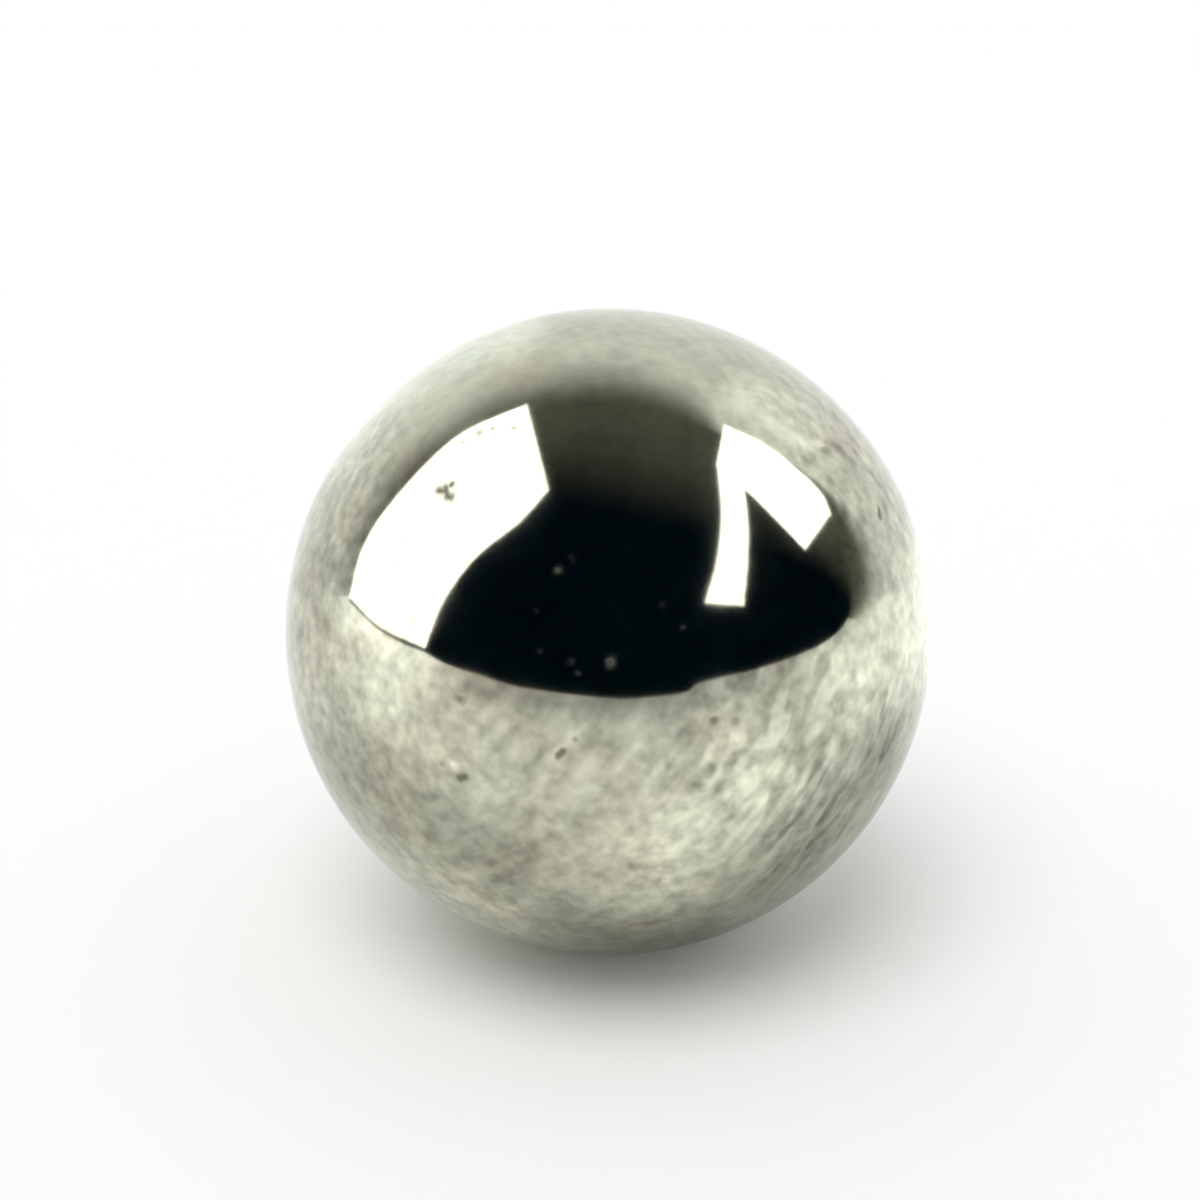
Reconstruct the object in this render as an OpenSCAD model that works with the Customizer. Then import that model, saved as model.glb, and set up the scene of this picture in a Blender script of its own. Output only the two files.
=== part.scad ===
// Polished steel ball
// One piece of hardened steel, ground and lapped to a true sphere, with no hole, flat or seam.
// The origin is at its centre, and +Z is up.

/* [Ball] */
// Diameter of the ball, in millimetres
ball_d = 25.4; // [6:0.1:60]

/* [Hidden] */
// Smoothness of the drawn sphere
$fn = 128;
// Red, green and blue of the steel
steel_colour_shares = [0.78, 0.78, 0.70];

// The whole ball, centred on the origin
module ball() {
  color(steel_colour_shares) sphere(d = ball_d);
}

ball();
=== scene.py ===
import math
import random

import bmesh
import bpy
import numpy as np
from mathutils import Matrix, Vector


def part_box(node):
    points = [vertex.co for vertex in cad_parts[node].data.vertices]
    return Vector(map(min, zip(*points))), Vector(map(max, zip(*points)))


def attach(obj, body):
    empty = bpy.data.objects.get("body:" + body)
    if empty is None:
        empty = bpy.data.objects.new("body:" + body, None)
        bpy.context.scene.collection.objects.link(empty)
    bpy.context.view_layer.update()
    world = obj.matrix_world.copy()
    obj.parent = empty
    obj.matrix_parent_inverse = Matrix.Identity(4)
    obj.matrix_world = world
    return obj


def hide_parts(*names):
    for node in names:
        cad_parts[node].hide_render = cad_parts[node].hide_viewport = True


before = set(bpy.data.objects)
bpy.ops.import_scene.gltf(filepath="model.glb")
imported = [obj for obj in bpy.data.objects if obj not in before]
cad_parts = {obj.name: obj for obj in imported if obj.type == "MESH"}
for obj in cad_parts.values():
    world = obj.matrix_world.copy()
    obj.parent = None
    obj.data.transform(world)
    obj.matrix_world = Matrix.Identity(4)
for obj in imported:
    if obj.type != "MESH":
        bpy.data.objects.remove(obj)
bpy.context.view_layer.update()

# The ball as the frame gives it, in metres
BALL_LOW, BALL_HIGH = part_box("ball")
RADIUS = (BALL_HIGH[2] - BALL_LOW[2]) / 2
MM = 0.001

# The photograph's frame, in pixels
FRAME_PX = 1200
BALL_CENTRE_PX = (608.4, 630.6)
BALL_RADIUS_PX = 323.25

# Camera
CAMERA_ELEVATION = math.radians(19)
CAMERA_DISTANCE = 74.7 * MM
SENSOR_MM = 36
CLIP_START = 0.127 * MM

# Floor and surround, in metres: white by the ball, behind it and high up, and grey further round it; on the
# floor this is a painted pool of light with painted fall-off round it
FLOOR_SIZE = 4.0
SURROUND_GREY = 0.66
# Where grey starts and ends turning white: by how far back a way points, by distance and by rise
BEHIND = (0.40, 0.85)
NEAR = (0.16, 0.07)
HIGH = (0.0, 0.14)

# Light on the floor: part from all round, the rest from a soft key light at the camera's left
AMBIENT_SHARE = 0.68
KEY_AZIMUTH = math.radians(-20)
KEY_ELEVATION = math.radians(62)
KEY_SPREAD = math.radians(40)

# Studio gear round the ball, laid out by the pixels of its reflections, and its reach in metres
FLAG_REACH = 0.200
SOFTBOX_REACH = 0.190
SHADE_REACH = 0.180
GLOW_REACH = 0.210
CARD_STEP = 0.05 * MM
CARD_END_SHARE = 0.25
SOFTBOX_GLOW = 3.0
FLAG_LOW_PX = (
    (348, 600), (378, 629), (402, 643), (424, 652), (446, 664), (480, 675), (525, 688), (608, 698),
    (650, 697), (686, 692), (702, 682), (760, 668), (812, 649), (838, 632), (848, 618),
)
FLAG_HIGH_PX = (
    (360, 594), (380, 536), (411, 484), (466, 441), (528, 414), (608, 404), (676, 418), (718, 436),
    (756, 447), (797, 469), (828, 501), (850, 548), (855, 588), (848, 618),
)
FLAG_FADES_PX = (30, 46, 46, 46, 54, 58, 46, 12, 4, 3, 12, 32, 34, 12)
FLAG_MIDDLE_PX = (606, 560)
FLAG_DEEP = (0.0, 0.004, 0.008)
# The grey towards the flag's top glows: painted light on the upper part of the cloth
FLAG_TOP_PAINTED_LIGHT = (0.115, 0.115, 0.095)
FLAG_PAINTED_LIGHT_FROM = 0.62
# Each softbox: two or three lines along it, side by side
SOFTBOXES_PX = {
    "softbox_left": (
        ((349, 597), (366, 540), (406, 485), (460, 434), (527, 404)),
        ((380, 627), (406, 568), (442, 520), (490, 478), (538, 447)),
        ((425, 648), (446, 597), (478, 556), (520, 522), (549, 490)),
    ),
    "softbox_right": (
        ((724, 424), (765, 444), (796, 468), (820, 491), (831, 514)),
        ((716, 466), (731, 478), (752, 496), (778, 522), (805, 550)),
    ),
    "softbox_strip": (
        ((717, 464), (721, 515), (717, 558), (705, 603)),
        ((744, 488), (748, 520), (748, 560), (744, 606)),
    ),
}
# Each soft card: its middle line, half its width, and how much it brightens or shades what it covers. The
# cards paint light and shade into what the steel mirrors: the ones that brighten are painted pools of light
# on the mirrored floor, and the ones that shade are the ball's painted shadow and painted shade round it
PAINTED_LIGHT_CARDS_PX = {
    "painted_shade_front": (((470, 676), (530, 698), (590, 708), (640, 706), (690, 697)), 42, 0.77),
    "painted_light_left": (((338, 612), (376, 650), (386, 700), (388, 752)), 54, 1.48),
    "painted_light_side_left": (((328, 568), (342, 602), (370, 630), (404, 652), (434, 670), (470, 688)), 36, 1.85),
    "painted_light_right": (((902, 500), (915, 590), (908, 645), (862, 688), (828, 722)), 54, 1.58),
    "painted_light_side_right": (((898, 578), (884, 614), (856, 640), (822, 660), (775, 684)), 30, 1.54),
    "painted_light_mid_right": (((812, 730), (758, 772), (702, 806), (660, 852), (640, 896)), 74, 1.38),
    "painted_light_high_left": (((330, 505), (366, 428), (432, 372), (505, 343), (560, 330)), 34, 1.30),
    "painted_light_high_right": (((712, 384), (772, 410), (822, 462)), 38, 1.38),
    "painted_shade_low_left": (((308, 680), (356, 775), (432, 828), (500, 860), (580, 894)), 72, 0.69),
    "painted_shade_low_mid": (((505, 872), (560, 888), (612, 884)), 40, 0.86),
    "painted_shadow_low_right": (((912, 700), (884, 750), (858, 800), (805, 858), (740, 900), (670, 925)), 48, 0.62),
    "painted_shadow_bottom": (((520, 905), (565, 922), (620, 934), (690, 928), (745, 908)), 42, 0.54),
}

# Steel: its colour, the ends of its drift in colour, the pale tint of metal bared by a chip, which is partly
# a painted highlight, the dirt in its nicks, its polish
STEEL = (0.487, 0.505, 0.395)
WARM_TINT = (1.12, 1.0, 0.99)
COOL_TINT = (0.90, 1.0, 1.0)
TINT_SIZE = 3.5 * MM
WARM_SHIFT = 0.15
BARE_AND_HIGHLIGHT = (0.86, 0.83, 0.72)
DIRT = (0.077, 0.070, 0.052)
POLISH = 0.04
HAZE = 0.05
HAZE_SIZE = 2.0 * MM
DULL_ROUGHNESS = 0.5
RIPPLE_SIZE = 0.3 * MM
RIPPLE_HEIGHT = 0.0003 * MM

# The film on the steel: pairs of size and strength for its clouds and grain, which is fainter on top
CLOUDS = ((4.0 * MM, 0.16), (2.0 * MM, 0.20))
GRAIN = ((1.0 * MM, 0.42), (0.5 * MM, 0.66), (0.25 * MM, 0.34))
TOP_GRAIN_SHARE = 0.40
TOP_HEIGHT_SHARES = (0.2, 0.75)
# Streaks and ovals of the film, drawn out round a pole: long and short size with strength, and soft edges
STREAK_POLE_PX = (360, 520)
STREAKS = ((3.2 * MM, 0.62 * MM, 0.72), (1.5 * MM, 0.34 * MM, 0.55))
STREAK_FAR_SHARE = 0.25
STREAK_COVER = 0.25
DARK_STREAK = (2.8 * MM, 0.60 * MM, 0.38)
DARK_STREAK_EDGE = (0.50, 0.68)
OVAL = (1.1 * MM, 0.62 * MM, 0.36)
OVAL_EDGE = (0.43, 0.66)
SPECK_GAP = 0.85 * MM
SPECK_EDGE = (0.50, 0.08)
SPECK_EMPTY_SHARE = 0.45
SPECK_STRENGTH = 0.40
# Where these lie: the pixel at the middle of each patch, and its inner and outer size
WARM_PATCHES = (((480, 790), 3.0 * MM, 11.0 * MM),)
GRAINY_PATCHES = (((856, 465), 2.0 * MM, 6.5 * MM), ((332, 500), 1.5 * MM, 5.5 * MM))
STREAK_PATCHES = (
    ((805, 832), 2.0 * MM, 6.0 * MM),
    ((590, 730), 2.0 * MM, 5.0 * MM),
    ((490, 850), 0.0, 5.5 * MM),
)
DARK_STREAK_PATCHES = (((800, 835), 1.5 * MM, 4.5 * MM), ((880, 735), 1.0 * MM, 3.5 * MM))
OVAL_PATCHES = (((778, 722), 2.2 * MM, 5.4 * MM),)
SPECK_PATCHES = (((718, 765), 1.5 * MM, 4.6 * MM), ((856, 465), 1.5 * MM, 5.0 * MM))

# Marks in the steel: width, depth, dirt, dullness and share of pale bared metal, partly a painted highlight,
# of each kind
NICK = (0.62 * MM, 0.004 * MM, 0.96, 0.6, 0.0)
SCORE = (0.46 * MM, 0.005 * MM, 0.76, 0.6, 0.0)
DARK_PIT = (0.60 * MM, 0.005 * MM, 0.58, 0.6, 0.0)
FAINT_PIT = (0.52 * MM, 0.004 * MM, 0.34, 0.5, 0.0)
DULL_PIT = (0.46 * MM, 0.001 * MM, 0.05, 0.28, 0.0)
WIDE_DULL_PIT = (0.80 * MM, 0.001 * MM, 0.03, 0.52, 0.0)
# A chip of bared metal, paler than the steel: partly a painted highlight
BARE_HIGHLIGHT_PIT = (0.60 * MM, 0.005 * MM, 0.0, 0.2, 1.0)
# How uneven their edges are, the length that counts as none, and how the seen pits differ in size
UNEVEN_SHARE = 0.25
SHORTEST_MARK = 0.001 * MM
SEEN_SIZES = (0.8, 1.15)
# Where the photograph shows them
NICKS_PX = (
    ((439, 491), (445, 491)),
    ((446, 488), (447, 496)),
    ((448, 497), (450, 497)),
    ((451, 485), (452, 484)),
)
SCORES_PX = (
    ((558, 755), (562, 751)),
    ((460, 778), (465, 777)),
    ((879, 509), (880, 517)),
)
DARK_PITS_PX = ((460, 699), (714, 719))
FAINT_PITS_PX = (
    (575, 739), (668, 768), (694, 784), (603, 875), (855, 452), (330, 578), (442, 764), (347, 723),
    (880, 485), (492, 428), (479, 433), (514, 428), (463, 442), (735, 722), (845, 472), (325, 581),
    (659, 880),
)
DULL_PITS_PX = ((662, 604), (683, 627), (578, 673), (541, 651), (572, 558), (571, 661), (536, 610))
WIDE_DULL_PITS_PX = ((558, 570), (610, 662))
BARE_HIGHLIGHT_PITS_PX = ((453, 764),)

# The same kinds of mark on the side that the photograph doesn't show, with the chance of each kind
HIDDEN_COSINE = 0.1
HIDDEN_PITS = 44
HIDDEN_SCORES = 8
HIDDEN_KINDS = (DARK_PIT, FAINT_PIT, DULL_PIT)
HIDDEN_CHANCES = (1, 3, 2)
HIDDEN_SIZES = (0.5, 1.1)
HIDDEN_SCORE_LENGTH = (0.3 * MM, 0.8 * MM)
HIDDEN_SEED = 25

# Ball mesh
CELLS_PER_SIDE = 72
REFINE_MARGINS = (0.40 * MM, 0.18 * MM, 0.07 * MM)


# Views through the camera

RIM_SLOPE = math.tan(math.asin(RADIUS / CAMERA_DISTANCE))
FRAME_SLOPE = RIM_SLOPE * FRAME_PX / 2 / BALL_RADIUS_PX


def pixel_way(pixel):
    """Direction of a pixel in the camera's own axes."""
    half = FRAME_PX / 2
    across = (pixel[0] - half) / half * FRAME_SLOPE
    up = (half - pixel[1]) / half * FRAME_SLOPE
    return Vector((across, up, -1)).normalized()


def camera_pose():
    """Place and turn of the camera that puts the ball's centre on its pixel."""
    eye = Vector((0, -math.cos(CAMERA_ELEVATION), math.sin(CAMERA_ELEVATION))) * CAMERA_DISTANCE
    straight = (-eye).to_track_quat("-Z", "Y")
    offset = Vector((0, 0, -1)).rotation_difference(pixel_way(BALL_CENTRE_PX))
    return eye, straight @ offset.inverted()


EYE, TURN = camera_pose()


def on_ball(pixel):
    """Point of the ball's surface that a pixel shows, or the nearest one on its rim."""
    way = TURN @ pixel_way(pixel)
    closest = EYE - way * EYE.dot(way)
    inside = max(RADIUS ** 2 - closest.length_squared, 0)
    return (closest - way * math.sqrt(inside)).normalized() * RADIUS


def mirrored(pixel, reach, lift):
    """Point that a pixel shows by reflection, at a distance from the ball's centre or just above the floor.

    Past the rim the points carry on a little way behind the ball.
    """
    spot = on_ball(pixel)
    way = (spot - EYE).normalized()
    out = way.reflect(spot.normalized())
    past = math.dist(pixel, BALL_CENTRE_PX) / BALL_RADIUS_PX - 1
    if past > 0:
        inward = math.acos(1 - past) / 2
        out = way * math.cos(inward) - spot.normalized() * math.sin(inward)
    along = -spot.dot(out)
    far = along + math.sqrt(along ** 2 + reach ** 2 - spot.length_squared)
    if out.z < 0:
        far = min(far, (lift - RADIUS - spot.z) / out.z)
    return spot + out * far


def along_curve(points, share):
    """Point at a share of a smooth curve through the points."""
    place = share * (len(points) - 1)
    first = min(int(place), len(points) - 2)
    t = place - first
    last = len(points) - 1
    a, b, c, d = (np.array(points[min(max(first + i, 0), last)], float) for i in (-1, 0, 1, 2))
    bend = 2 * a - 5 * b + 4 * c - d
    twist = 3 * b - a - 3 * c + d
    return b + (c - a) * t / 2 + bend * t ** 2 / 2 + twist * t ** 3 / 2


def eased(share):
    """A share from 0 to 1 with a soft start and end."""
    share = np.clip(share, 0, 1)
    return share ** 2 * (3 - 2 * share)


# Node helpers

def node(tree, kind, inputs=None, **settings):
    """Adds a node, sets its properties and fills its inputs with values or links."""
    made = tree.nodes.new(kind)
    for name, value in settings.items():
        setattr(made, name, value)
    for name, value in (inputs or {}).items():
        if isinstance(value, bpy.types.NodeSocket):
            tree.links.new(value, made.inputs[name])
        else:
            made.inputs[name].default_value = value
    return made


def maths(tree, operation, *values):
    """Result of a maths node on values or links."""
    return node(tree, "ShaderNodeMath", dict(enumerate(values)), operation=operation).outputs[0]


def vector_maths(tree, operation, inputs, output="Vector"):
    """Result of a vector maths node on values or links."""
    return node(tree, "ShaderNodeVectorMath", inputs, operation=operation).outputs[output]


def soft_step(tree, value, start, end):
    """Rises softly from 0 to 1 as the value goes from start to end."""
    inputs = {"Value": value, "From Min": start, "From Max": end}
    return node(tree, "ShaderNodeMapRange", inputs, interpolation_type="SMOOTHSTEP").outputs["Result"]


def attribute(tree, name):
    """A value that the mesh carries at each point."""
    return node(tree, "ShaderNodeAttribute", attribute_name=name).outputs["Fac"]


def new_material(name):
    """A new material with an empty node tree, and that tree."""
    material = bpy.data.materials.new(name)
    material.use_nodes = True
    material.node_tree.nodes.clear()
    return material, material.node_tree


def finish_material(tree, shader):
    """Links a shader to the material's output."""
    node(tree, "ShaderNodeOutputMaterial", {"Surface": shader.outputs[0]})


def new_object(name, mesh, material):
    """A smooth object of one material, placed in the scene."""
    mesh.shade_smooth()
    mesh.materials.append(material)
    made = bpy.data.objects.new(name, mesh)
    bpy.context.collection.objects.link(made)
    return made


# Camera, light and floor

def add_camera():
    """The camera at the photograph's viewing angle."""
    data = bpy.data.cameras.new("camera")
    data.sensor_width = SENSOR_MM
    data.lens = SENSOR_MM / 2 / FRAME_SLOPE
    data.clip_start = CLIP_START
    camera = bpy.data.objects.new("camera", data)
    camera.location = EYE
    camera.rotation_mode = "QUATERNION"
    camera.rotation_quaternion = TURN
    bpy.context.collection.objects.link(camera)
    bpy.context.scene.camera = camera


def surround(tree, place, white):
    """Brightness of the surround towards a place: white behind the ball and by the share given, or grey."""
    flat = vector_maths(tree, "MULTIPLY", {0: place, 1: (1, 1, 0)})
    level = vector_maths(tree, "NORMALIZE", {0: flat})
    behind = soft_step(tree, node(tree, "ShaderNodeSeparateXYZ", {0: level}).outputs["Y"], *BEHIND)
    pale = maths(tree, "MAXIMUM", behind, white)
    return maths(tree, "MULTIPLY_ADD", pale, 1 - SURROUND_GREY, SURROUND_GREY)


def add_world():
    """The surround as it is seen, which lights the floor evenly with its share."""
    world = bpy.data.worlds.new("studio")
    world.use_nodes = True
    tree = world.node_tree
    rays = node(tree, "ShaderNodeLightPath").outputs
    seen = maths(tree, "MAXIMUM", rays["Is Camera Ray"], rays["Is Glossy Ray"])
    seen = maths(tree, "MAXIMUM", seen, rays["Is Transmission Ray"])
    way = node(tree, "ShaderNodeTexCoord").outputs["Generated"]
    high = soft_step(tree, node(tree, "ShaderNodeSeparateXYZ", {0: way}).outputs["Z"], *HIGH)
    extra = maths(tree, "SUBTRACT", surround(tree, way, high), AMBIENT_SHARE)
    background = tree.nodes["Background"]
    background.inputs["Color"].default_value = (1, 1, 1, 1)
    tree.links.new(maths(tree, "MULTIPLY_ADD", seen, extra, AMBIENT_SHARE), background.inputs["Strength"])
    bpy.context.scene.world = world


def add_key_light():
    """The soft key light, which brings the floor up to white; the softboxes are its mirrored face."""
    data = bpy.data.lights.new("key", "SUN")
    data.energy = (1 - AMBIENT_SHARE) * math.pi / math.sin(KEY_ELEVATION)
    data.angle = KEY_SPREAD
    lamp = bpy.data.objects.new("key", data)
    flat = math.cos(KEY_ELEVATION)
    way = Vector((math.sin(KEY_AZIMUTH) * flat, -math.cos(KEY_AZIMUTH) * flat, math.sin(KEY_ELEVATION)))
    lamp.rotation_mode = "QUATERNION"
    lamp.rotation_quaternion = way.to_track_quat("Z", "Y")
    lamp.visible_glossy = False
    bpy.context.collection.objects.link(lamp)


def add_floor():
    """The floor, which takes the ball's shadow, with a painted pool of light: its colour is white near the
    ball and behind it and grey further round.
    """
    material, tree = new_material("floor")
    place = node(tree, "ShaderNodeTexCoord").outputs["Object"]
    gap = vector_maths(tree, "LENGTH", {0: place}, "Value")
    # Painted pool of light: the floor's own colour goes from white near the ball to grey further round
    colour = surround(tree, place, soft_step(tree, gap, *NEAR))
    finish_material(tree, node(tree, "ShaderNodeBsdfDiffuse", {"Color": colour}))
    half = FLOOR_SIZE / 2
    mesh = bpy.data.meshes.new("floor")
    corners = [(x * half, y * half, -RADIUS) for x, y in ((-1, -1), (1, -1), (1, 1), (-1, 1))]
    mesh.from_pydata(corners, [], [(0, 1, 2, 3)])
    new_object("floor", mesh, material)


# Studio gear that only the polished steel shows, with cards of painted light and painted shade among it

def add_sheet(name, pixel_rows, reach, lift, material, values=None):
    """A sheet of cloth, a card or a lamp's front, laid out by rows of the pixels of its reflection."""
    wide = len(pixel_rows[0])
    places = [mirrored(pixel, reach, lift) for row in pixel_rows for pixel in row]
    faces = [
        (r * wide + c, r * wide + c + 1, (r + 1) * wide + c + 1, (r + 1) * wide + c)
        for r in range(len(pixel_rows) - 1)
        for c in range(wide - 1)
    ]
    mesh = bpy.data.meshes.new(name)
    mesh.from_pydata(places, [], faces)
    for title, numbers in (values or {}).items():
        mesh.attributes.new(title, "FLOAT", "POINT").data.foreach_set("value", numbers)
    sheet = new_object(name, mesh, material)
    sheet.visible_camera = False
    sheet.visible_diffuse = False
    sheet.visible_shadow = False
    sheet.visible_transmission = False


def flag_material():
    """Black cloth that glows grey towards its top, painted light on its upper part, and thins out where
    cover falls to nothing.
    """
    material, tree = new_material("flag")
    shade = node(tree, "ShaderNodeMix", {
        "Factor": soft_step(tree, attribute(tree, "height"), FLAG_PAINTED_LIGHT_FROM, 1.0),
        "A": (*FLAG_DEEP, 1),
        "B": (*FLAG_TOP_PAINTED_LIGHT, 1),
    }, data_type="RGBA")
    cloth = node(tree, "ShaderNodeEmission", {"Color": shade.outputs["Result"]})
    clear = node(tree, "ShaderNodeBsdfTransparent")
    cover = attribute(tree, "cover")
    mix = {0: cover, 1: clear.outputs[0], 2: cloth.outputs[0]}
    finish_material(tree, node(tree, "ShaderNodeMixShader", mix))
    return material


def add_flag():
    """The black cloth in front of the ball, with a soft upper edge."""
    columns, rows, fade_rows = 97, 25, 13
    shares = np.linspace(0, 1, columns)
    low = [along_curve(FLAG_LOW_PX, s) for s in shares]
    high = [along_curve(FLAG_HIGH_PX, s) for s in shares]
    fade = [along_curve(FLAG_FADES_PX, s) for s in shares]
    outward = [(h - FLAG_MIDDLE_PX) / np.linalg.norm(h - FLAG_MIDDLE_PX) for h in high]
    grid, height, cover = [], [], []
    for v in np.linspace(0, 1, rows):
        grid.append([a + (b - a) * v for a, b in zip(low, high)])
        height += [v] * columns
        cover += [1.0] * columns
    for v in np.linspace(0, 1, fade_rows)[1:]:
        grid.append([h + o * f * v for h, o, f in zip(high, outward, fade)])
        height += [1.0] * columns
        cover += [1 - eased(v)] * columns
    add_sheet("flag", grid, FLAG_REACH, 0, flag_material(), {"height": height, "cover": cover})


def add_softboxes():
    """The glowing white fronts of the softboxes."""
    material, tree = new_material("softbox")
    glow = {"Color": (1, 1, 1, 1), "Strength": SOFTBOX_GLOW}
    finish_material(tree, node(tree, "ShaderNodeEmission", glow))
    columns, rows = 33, 17
    shares = np.linspace(0, 1, columns)
    for name, lines in SOFTBOXES_PX.items():
        ribs = [[along_curve(line, s) for line in lines] for s in shares]
        grid = [[along_curve(rib, v) for rib in ribs] for v in np.linspace(0, 1, rows)]
        add_sheet(name, grid, SOFTBOX_REACH, 0, material)


def painted_light_card_material(gain):
    """A soft card of painted light and shade: over 1 it glows on top of what is behind it as a painted
    highlight, under 1 it shades that as painted shade.
    """
    # Painted light and painted shade in the steel's reflection, not a lamp
    material, tree = new_material("card")
    cover = attribute(tree, "cover")
    shade = maths(tree, "MULTIPLY_ADD", cover, min(gain, 1) - 1, 1)
    clear = node(tree, "ShaderNodeBsdfTransparent", {"Color": shade})
    glow = node(tree, "ShaderNodeEmission", {"Strength": maths(tree, "MULTIPLY", cover, max(gain, 1) - 1)})
    finish_material(tree, node(tree, "ShaderNodeAddShader", {0: clear.outputs[0], 1: glow.outputs[0]}))
    return material


def add_painted_light_cards():
    """Soft cards of painted light and painted shade in what the steel mirrors: the ones that glow stand
    behind the flag, and the ones that shade in front.
    """
    columns, rows = 49, 41
    shares = np.linspace(0, 1, columns)
    for layer, (name, (line, half_width, gain)) in enumerate(PAINTED_LIGHT_CARDS_PX.items()):
        middle = np.array([along_curve(line, s) for s in shares])
        ahead = np.gradient(middle, axis=0)
        side = np.stack([-ahead[:, 1], ahead[:, 0]], 1) / np.linalg.norm(ahead, axis=1)[:, None]
        ends = eased(np.minimum(shares, 1 - shares) / CARD_END_SHARE)
        grid, cover = [], []
        for v in np.linspace(-1, 1, rows):
            grid.append(middle + side * half_width * v)
            cover += list(ends * eased(1 - abs(v)))
        lift = CARD_STEP * (layer + 1)
        reach = GLOW_REACH if gain > 1 else SHADE_REACH
        add_sheet(name, grid, reach - lift, lift, painted_light_card_material(gain), {"cover": cover})


# Ball

class Mark:
    """A nick or pit: a short groove between two points of the surface, with some dirt in it."""

    def __init__(self, start, end, kind, size, luck):
        width, depth, self.dirt, self.dull, self.bare_and_highlight = kind
        self.start = np.array(start)
        self.end = np.array(end)
        self.half = width * size / 2
        self.depth = depth * size
        self.wobble = np.array([luck.uniform(-1, 1) for _ in range(3)]) * math.pi / self.half

    def nearness(self, points):
        """Distance of points from the groove's middle line, as a share of half its uneven width."""
        span = self.end - self.start
        share = np.clip((points - self.start) @ span / max(span @ span, SHORTEST_MARK ** 2), 0, 1)
        gap = np.linalg.norm(points - self.start - share[:, None] * span, axis=1)
        return gap / (self.half * (1 + UNEVEN_SHARE * np.sin(points @ self.wobble)))


def seen_marks(luck):
    """The marks that the photograph shows."""
    marks = []
    for pairs, kind in ((NICKS_PX, NICK), (SCORES_PX, SCORE)):
        for start, end in pairs:
            marks.append(Mark(on_ball(start), on_ball(end), kind, 1, luck))
    pits = (
        (DARK_PITS_PX, DARK_PIT),
        (FAINT_PITS_PX, FAINT_PIT),
        (DULL_PITS_PX, DULL_PIT),
        (WIDE_DULL_PITS_PX, WIDE_DULL_PIT),
        (BARE_HIGHLIGHT_PITS_PX, BARE_HIGHLIGHT_PIT),
    )
    for pixels, kind in pits:
        for pixel in pixels:
            spot = on_ball(pixel)
            marks.append(Mark(spot, spot, kind, luck.uniform(*SEEN_SIZES), luck))
    return marks


def hidden_place(luck):
    """A random point of the side that faces away from the camera."""
    while True:
        way = Vector([luck.gauss(0, 1) for _ in range(3)]).normalized()
        if way.dot(EYE.normalized()) < HIDDEN_COSINE:
            return way * RADIUS


def hidden_marks(luck):
    """Marks of the same kinds on the side that the photograph doesn't show."""
    marks = []
    for i in range(HIDDEN_PITS + HIDDEN_SCORES):
        start = hidden_place(luck)
        end = start
        if i >= HIDDEN_PITS:
            way = Vector([luck.gauss(0, 1) for _ in range(3)]).cross(start).normalized()
            end = (start + way * luck.uniform(*HIDDEN_SCORE_LENGTH)).normalized() * RADIUS
        kind = luck.choices(HIDDEN_KINDS, HIDDEN_CHANCES)[0]
        marks.append(Mark(start, end, kind, luck.uniform(*HIDDEN_SIZES), luck))
    return marks


def cube_sphere():
    """A ball of even quads, from a cube whose sides are gridded and blown up."""
    made = bmesh.new()
    bmesh.ops.create_cube(made, size=2)
    bmesh.ops.subdivide_edges(made, edges=made.edges[:], cuts=CELLS_PER_SIDE - 1, use_grid_fill=True)
    for vertex in made.verts:
        evened = Vector([math.tan(c * math.pi / 4) for c in vertex.co])
        vertex.co = evened.normalized() * RADIUS
    return made


def refine(made, marks):
    """Splits the faces near the marks, more finely the nearer they are."""
    for margin in REFINE_MARGINS:
        middles = np.array([face.calc_center_median() for face in made.faces])
        close = np.zeros(len(middles), bool)
        for mark in marks:
            close |= mark.nearness(middles) < 1 + margin / mark.half
        chosen = [face for face, near in zip(made.faces, close) if near]
        edges = dict.fromkeys(edge for face in chosen for edge in face.edges)
        bmesh.ops.subdivide_edges(made, edges=list(edges), cuts=1, use_grid_fill=True)
        for vertex in made.verts:
            vertex.co = vertex.co.normalized() * RADIUS
    bmesh.ops.triangulate(made, faces=[face for face in made.faces if len(face.verts) > 4])


def dent(points, marks):
    """Depth of the surface at each point of the ball, how dirty and dull it is there, and how much pale
    bared metal, partly a painted highlight, it shows.
    """
    depth = np.zeros(len(points))
    looks = {title: np.zeros(len(points)) for title in ("dirt", "dull", "bare_and_highlight")}
    for mark in marks:
        bowl = np.clip(1 - mark.nearness(points) ** 2, 0, 1) ** 2
        depth = np.maximum(depth, bowl * mark.depth)
        for title, values in looks.items():
            np.maximum(values, bowl * getattr(mark, title), out=values)
    return depth, looks


def noise(tree, vector, size, detail=0.0):
    """A smooth random pattern from 0 to 1 of the given size."""
    inputs = {"Vector": vector, "Scale": 1 / size, "Detail": detail}
    return node(tree, "ShaderNodeTexNoise", inputs).outputs["Fac"]


def drawn_out(tree, place, long, short):
    """Places squeezed so that a pattern comes out long on circles about the pole of the streaks."""
    pole = on_ball(STREAK_POLE_PX).to_track_quat("Z", "Y").to_euler()
    inputs = {"Vector": place, "Rotation": pole, "Scale": (long, long, short)}
    return node(tree, "ShaderNodeMapping", inputs, vector_type="TEXTURE").outputs["Vector"]


def patches(tree, place, spots):
    """1 near the points that the pixels show and the points opposite them, and 0 outside each patch."""
    share = 0.0
    for pixel, inner, outer in spots:
        for middle in (on_ball(pixel), -on_ball(pixel)):
            gap = vector_maths(tree, "DISTANCE", {0: place, 1: middle}, "Value")
            share = maths(tree, "MAXIMUM", share, soft_step(tree, gap, outer, inner))
    return share


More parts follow.
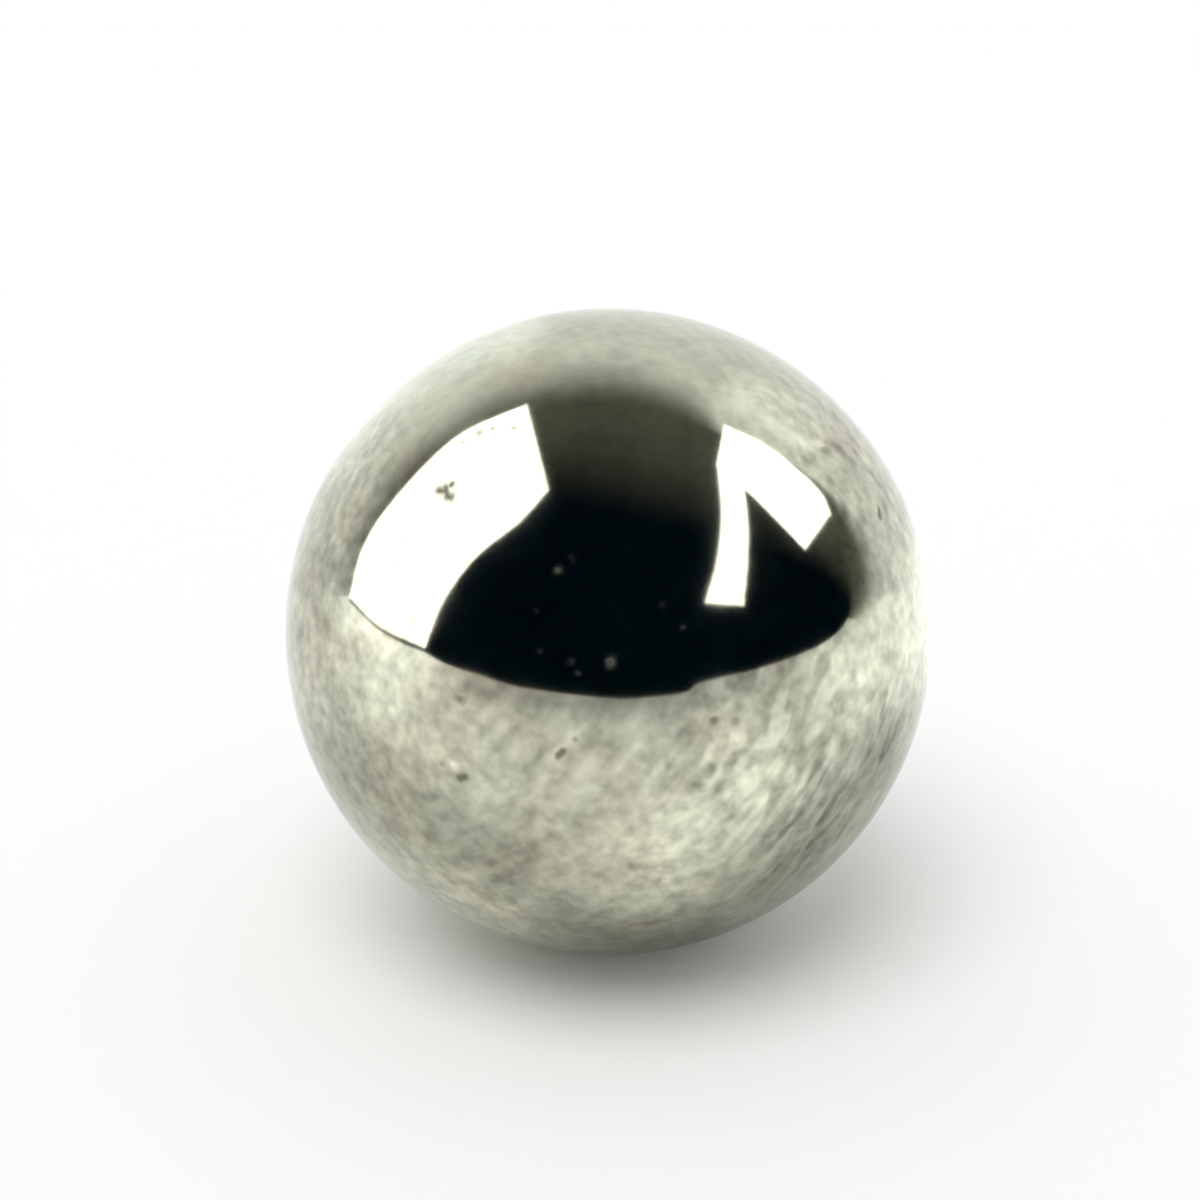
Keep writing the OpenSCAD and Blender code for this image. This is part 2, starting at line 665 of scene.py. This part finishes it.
def specks(tree, place):
    """Small dots, in some of the cells of a loose pattern."""
    cells = node(tree, "ShaderNodeTexVoronoi", {"Vector": place, "Scale": 1 / SPECK_GAP}).outputs
    dot = soft_step(tree, cells["Distance"], *SPECK_EDGE)
    return maths(tree, "MULTIPLY", dot, maths(tree, "GREATER_THAN", cells["Color"], SPECK_EMPTY_SHARE))


def ovals(tree, place):
    """Pale ovals with soft dark gaps between them."""
    long, short, _ = OVAL
    return soft_step(tree, noise(tree, drawn_out(tree, place, long, short), 1.0), *OVAL_EDGE)


def film_layers(tree, place):
    """The layers of the film: how bright each is from 0 to 1, its strength and its share at each place."""
    height = node(tree, "ShaderNodeSeparateXYZ", {0: place}).outputs["Z"]
    topside = soft_step(tree, height, *(share * RADIUS for share in TOP_HEIGHT_SHARES))
    topside = maths(tree, "SUBTRACT", topside, patches(tree, place, GRAINY_PATCHES))
    grainy = maths(tree, "MULTIPLY_ADD", maths(tree, "MAXIMUM", topside, 0.0), TOP_GRAIN_SHARE - 1, 1)
    streaky = maths(tree, "MAXIMUM", patches(tree, place, STREAK_PATCHES), STREAK_FAR_SHARE)
    grainy = maths(tree, "MULTIPLY", grainy, maths(tree, "MULTIPLY_ADD", streaky, -STREAK_COVER, 1))
    layers = [(noise(tree, place, size), strength, 1.0) for size, strength in CLOUDS]
    layers += [(noise(tree, place, size), strength, grainy) for size, strength in GRAIN]
    for long, short, strength in STREAKS:
        layers.append((noise(tree, drawn_out(tree, place, long, short), 1.0, detail=1.0), strength, streaky))
    layers.append((ovals(tree, place), OVAL[2], patches(tree, place, OVAL_PATCHES)))
    return layers


def film_tone(tree, place):
    """Brightness of the film on the steel: its layers, less its dark streaks and specks."""
    tone = 1.0
    for value, strength, share in film_layers(tree, place):
        swing = maths(tree, "MULTIPLY", maths(tree, "SUBTRACT", value, 0.5), share)
        tone = maths(tree, "MULTIPLY_ADD", swing, strength, tone)
    long, short, strength = DARK_STREAK
    lines = noise(tree, drawn_out(tree, place, long, short), 1.0, detail=1.0)
    dark = soft_step(tree, lines, *DARK_STREAK_EDGE)
    dark = maths(tree, "MULTIPLY", dark, patches(tree, place, DARK_STREAK_PATCHES))
    speckled = maths(tree, "MULTIPLY", patches(tree, place, SPECK_PATCHES), specks(tree, place))
    tone = maths(tree, "MULTIPLY_ADD", dark, -strength, tone)
    return maths(tree, "MULTIPLY_ADD", speckled, -SPECK_STRENGTH, tone)


def film_hue(tree, place):
    """Colour of the steel, which drifts a little between warm and cool."""
    drift = noise(tree, place, TINT_SIZE, detail=1.0)
    return node(tree, "ShaderNodeMix", {
        "Factor": maths(tree, "MULTIPLY_ADD", patches(tree, place, WARM_PATCHES), -WARM_SHIFT, drift),
        "A": (*(c * t for c, t in zip(STEEL, WARM_TINT)), 1),
        "B": (*(c * t for c, t in zip(STEEL, COOL_TINT)), 1),
    }, data_type="RGBA").outputs["Result"]


def steel_material():
    """Polished steel under a mottled, streaky film, dull and dirty in its nicks."""
    material, tree = new_material("steel")
    place = node(tree, "ShaderNodeTexCoord").outputs["Object"]
    colour = vector_maths(tree, "SCALE", {0: film_hue(tree, place), "Scale": film_tone(tree, place)})
    # Pale bared metal, partly a painted highlight, then dirt in the nicks
    for title, tint in (("bare_and_highlight", BARE_AND_HIGHLIGHT), ("dirt", DIRT)):
        inputs = {"Factor": attribute(tree, title), "A": colour, "B": (*tint, 1)}
        colour = node(tree, "ShaderNodeMix", inputs, data_type="RGBA").outputs["Result"]
    rough = maths(tree, "MULTIPLY_ADD", noise(tree, place, HAZE_SIZE, detail=2.0), HAZE, POLISH)
    ripple = {"Height": noise(tree, place, RIPPLE_SIZE, detail=1.0), "Distance": RIPPLE_HEIGHT}
    shader = node(tree, "ShaderNodeBsdfPrincipled", {
        "Base Color": colour,
        "Metallic": 1.0,
        "Roughness": maths(tree, "MULTIPLY_ADD", attribute(tree, "dull"), DULL_ROUGHNESS, rough),
        "Normal": node(tree, "ShaderNodeBump", ripple).outputs["Normal"],
    })
    finish_material(tree, shader)
    return material


def add_ball():
    """The ball with its marks pressed in, in place of the plain solid."""
    luck = random.Random(HIDDEN_SEED)
    marks = seen_marks(luck) + hidden_marks(luck)
    made = cube_sphere()
    refine(made, marks)
    mesh = bpy.data.meshes.new("polished_ball")
    made.to_mesh(mesh)
    made.free()

    points = np.empty(len(mesh.vertices) * 3)
    mesh.vertices.foreach_get("co", points)
    points = points.reshape(-1, 3)
    depth, looks = dent(points, marks)
    ways = points / RADIUS
    mesh.vertices.foreach_set("co", (ways * (RADIUS - depth)[:, None]).ravel())
    mesh.update()
    for title, values in looks.items():
        mesh.attributes.new(title, "FLOAT", "POINT").data.foreach_set("value", values)

    ball = new_object("polished_ball", mesh, steel_material())
    normals = np.empty(len(mesh.vertices) * 3)
    mesh.vertex_normals.foreach_get("vector", normals)
    normals = np.where((depth > 0)[:, None], normals.reshape(-1, 3), ways)
    mesh.normals_split_custom_set_from_vertices(normals)
    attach(ball, "root")
    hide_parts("ball")


bpy.context.scene.view_settings.view_transform = "Standard"
add_camera()
add_world()
add_key_light()
add_floor()
add_flag()
add_softboxes()
add_painted_light_cards()
add_ball()
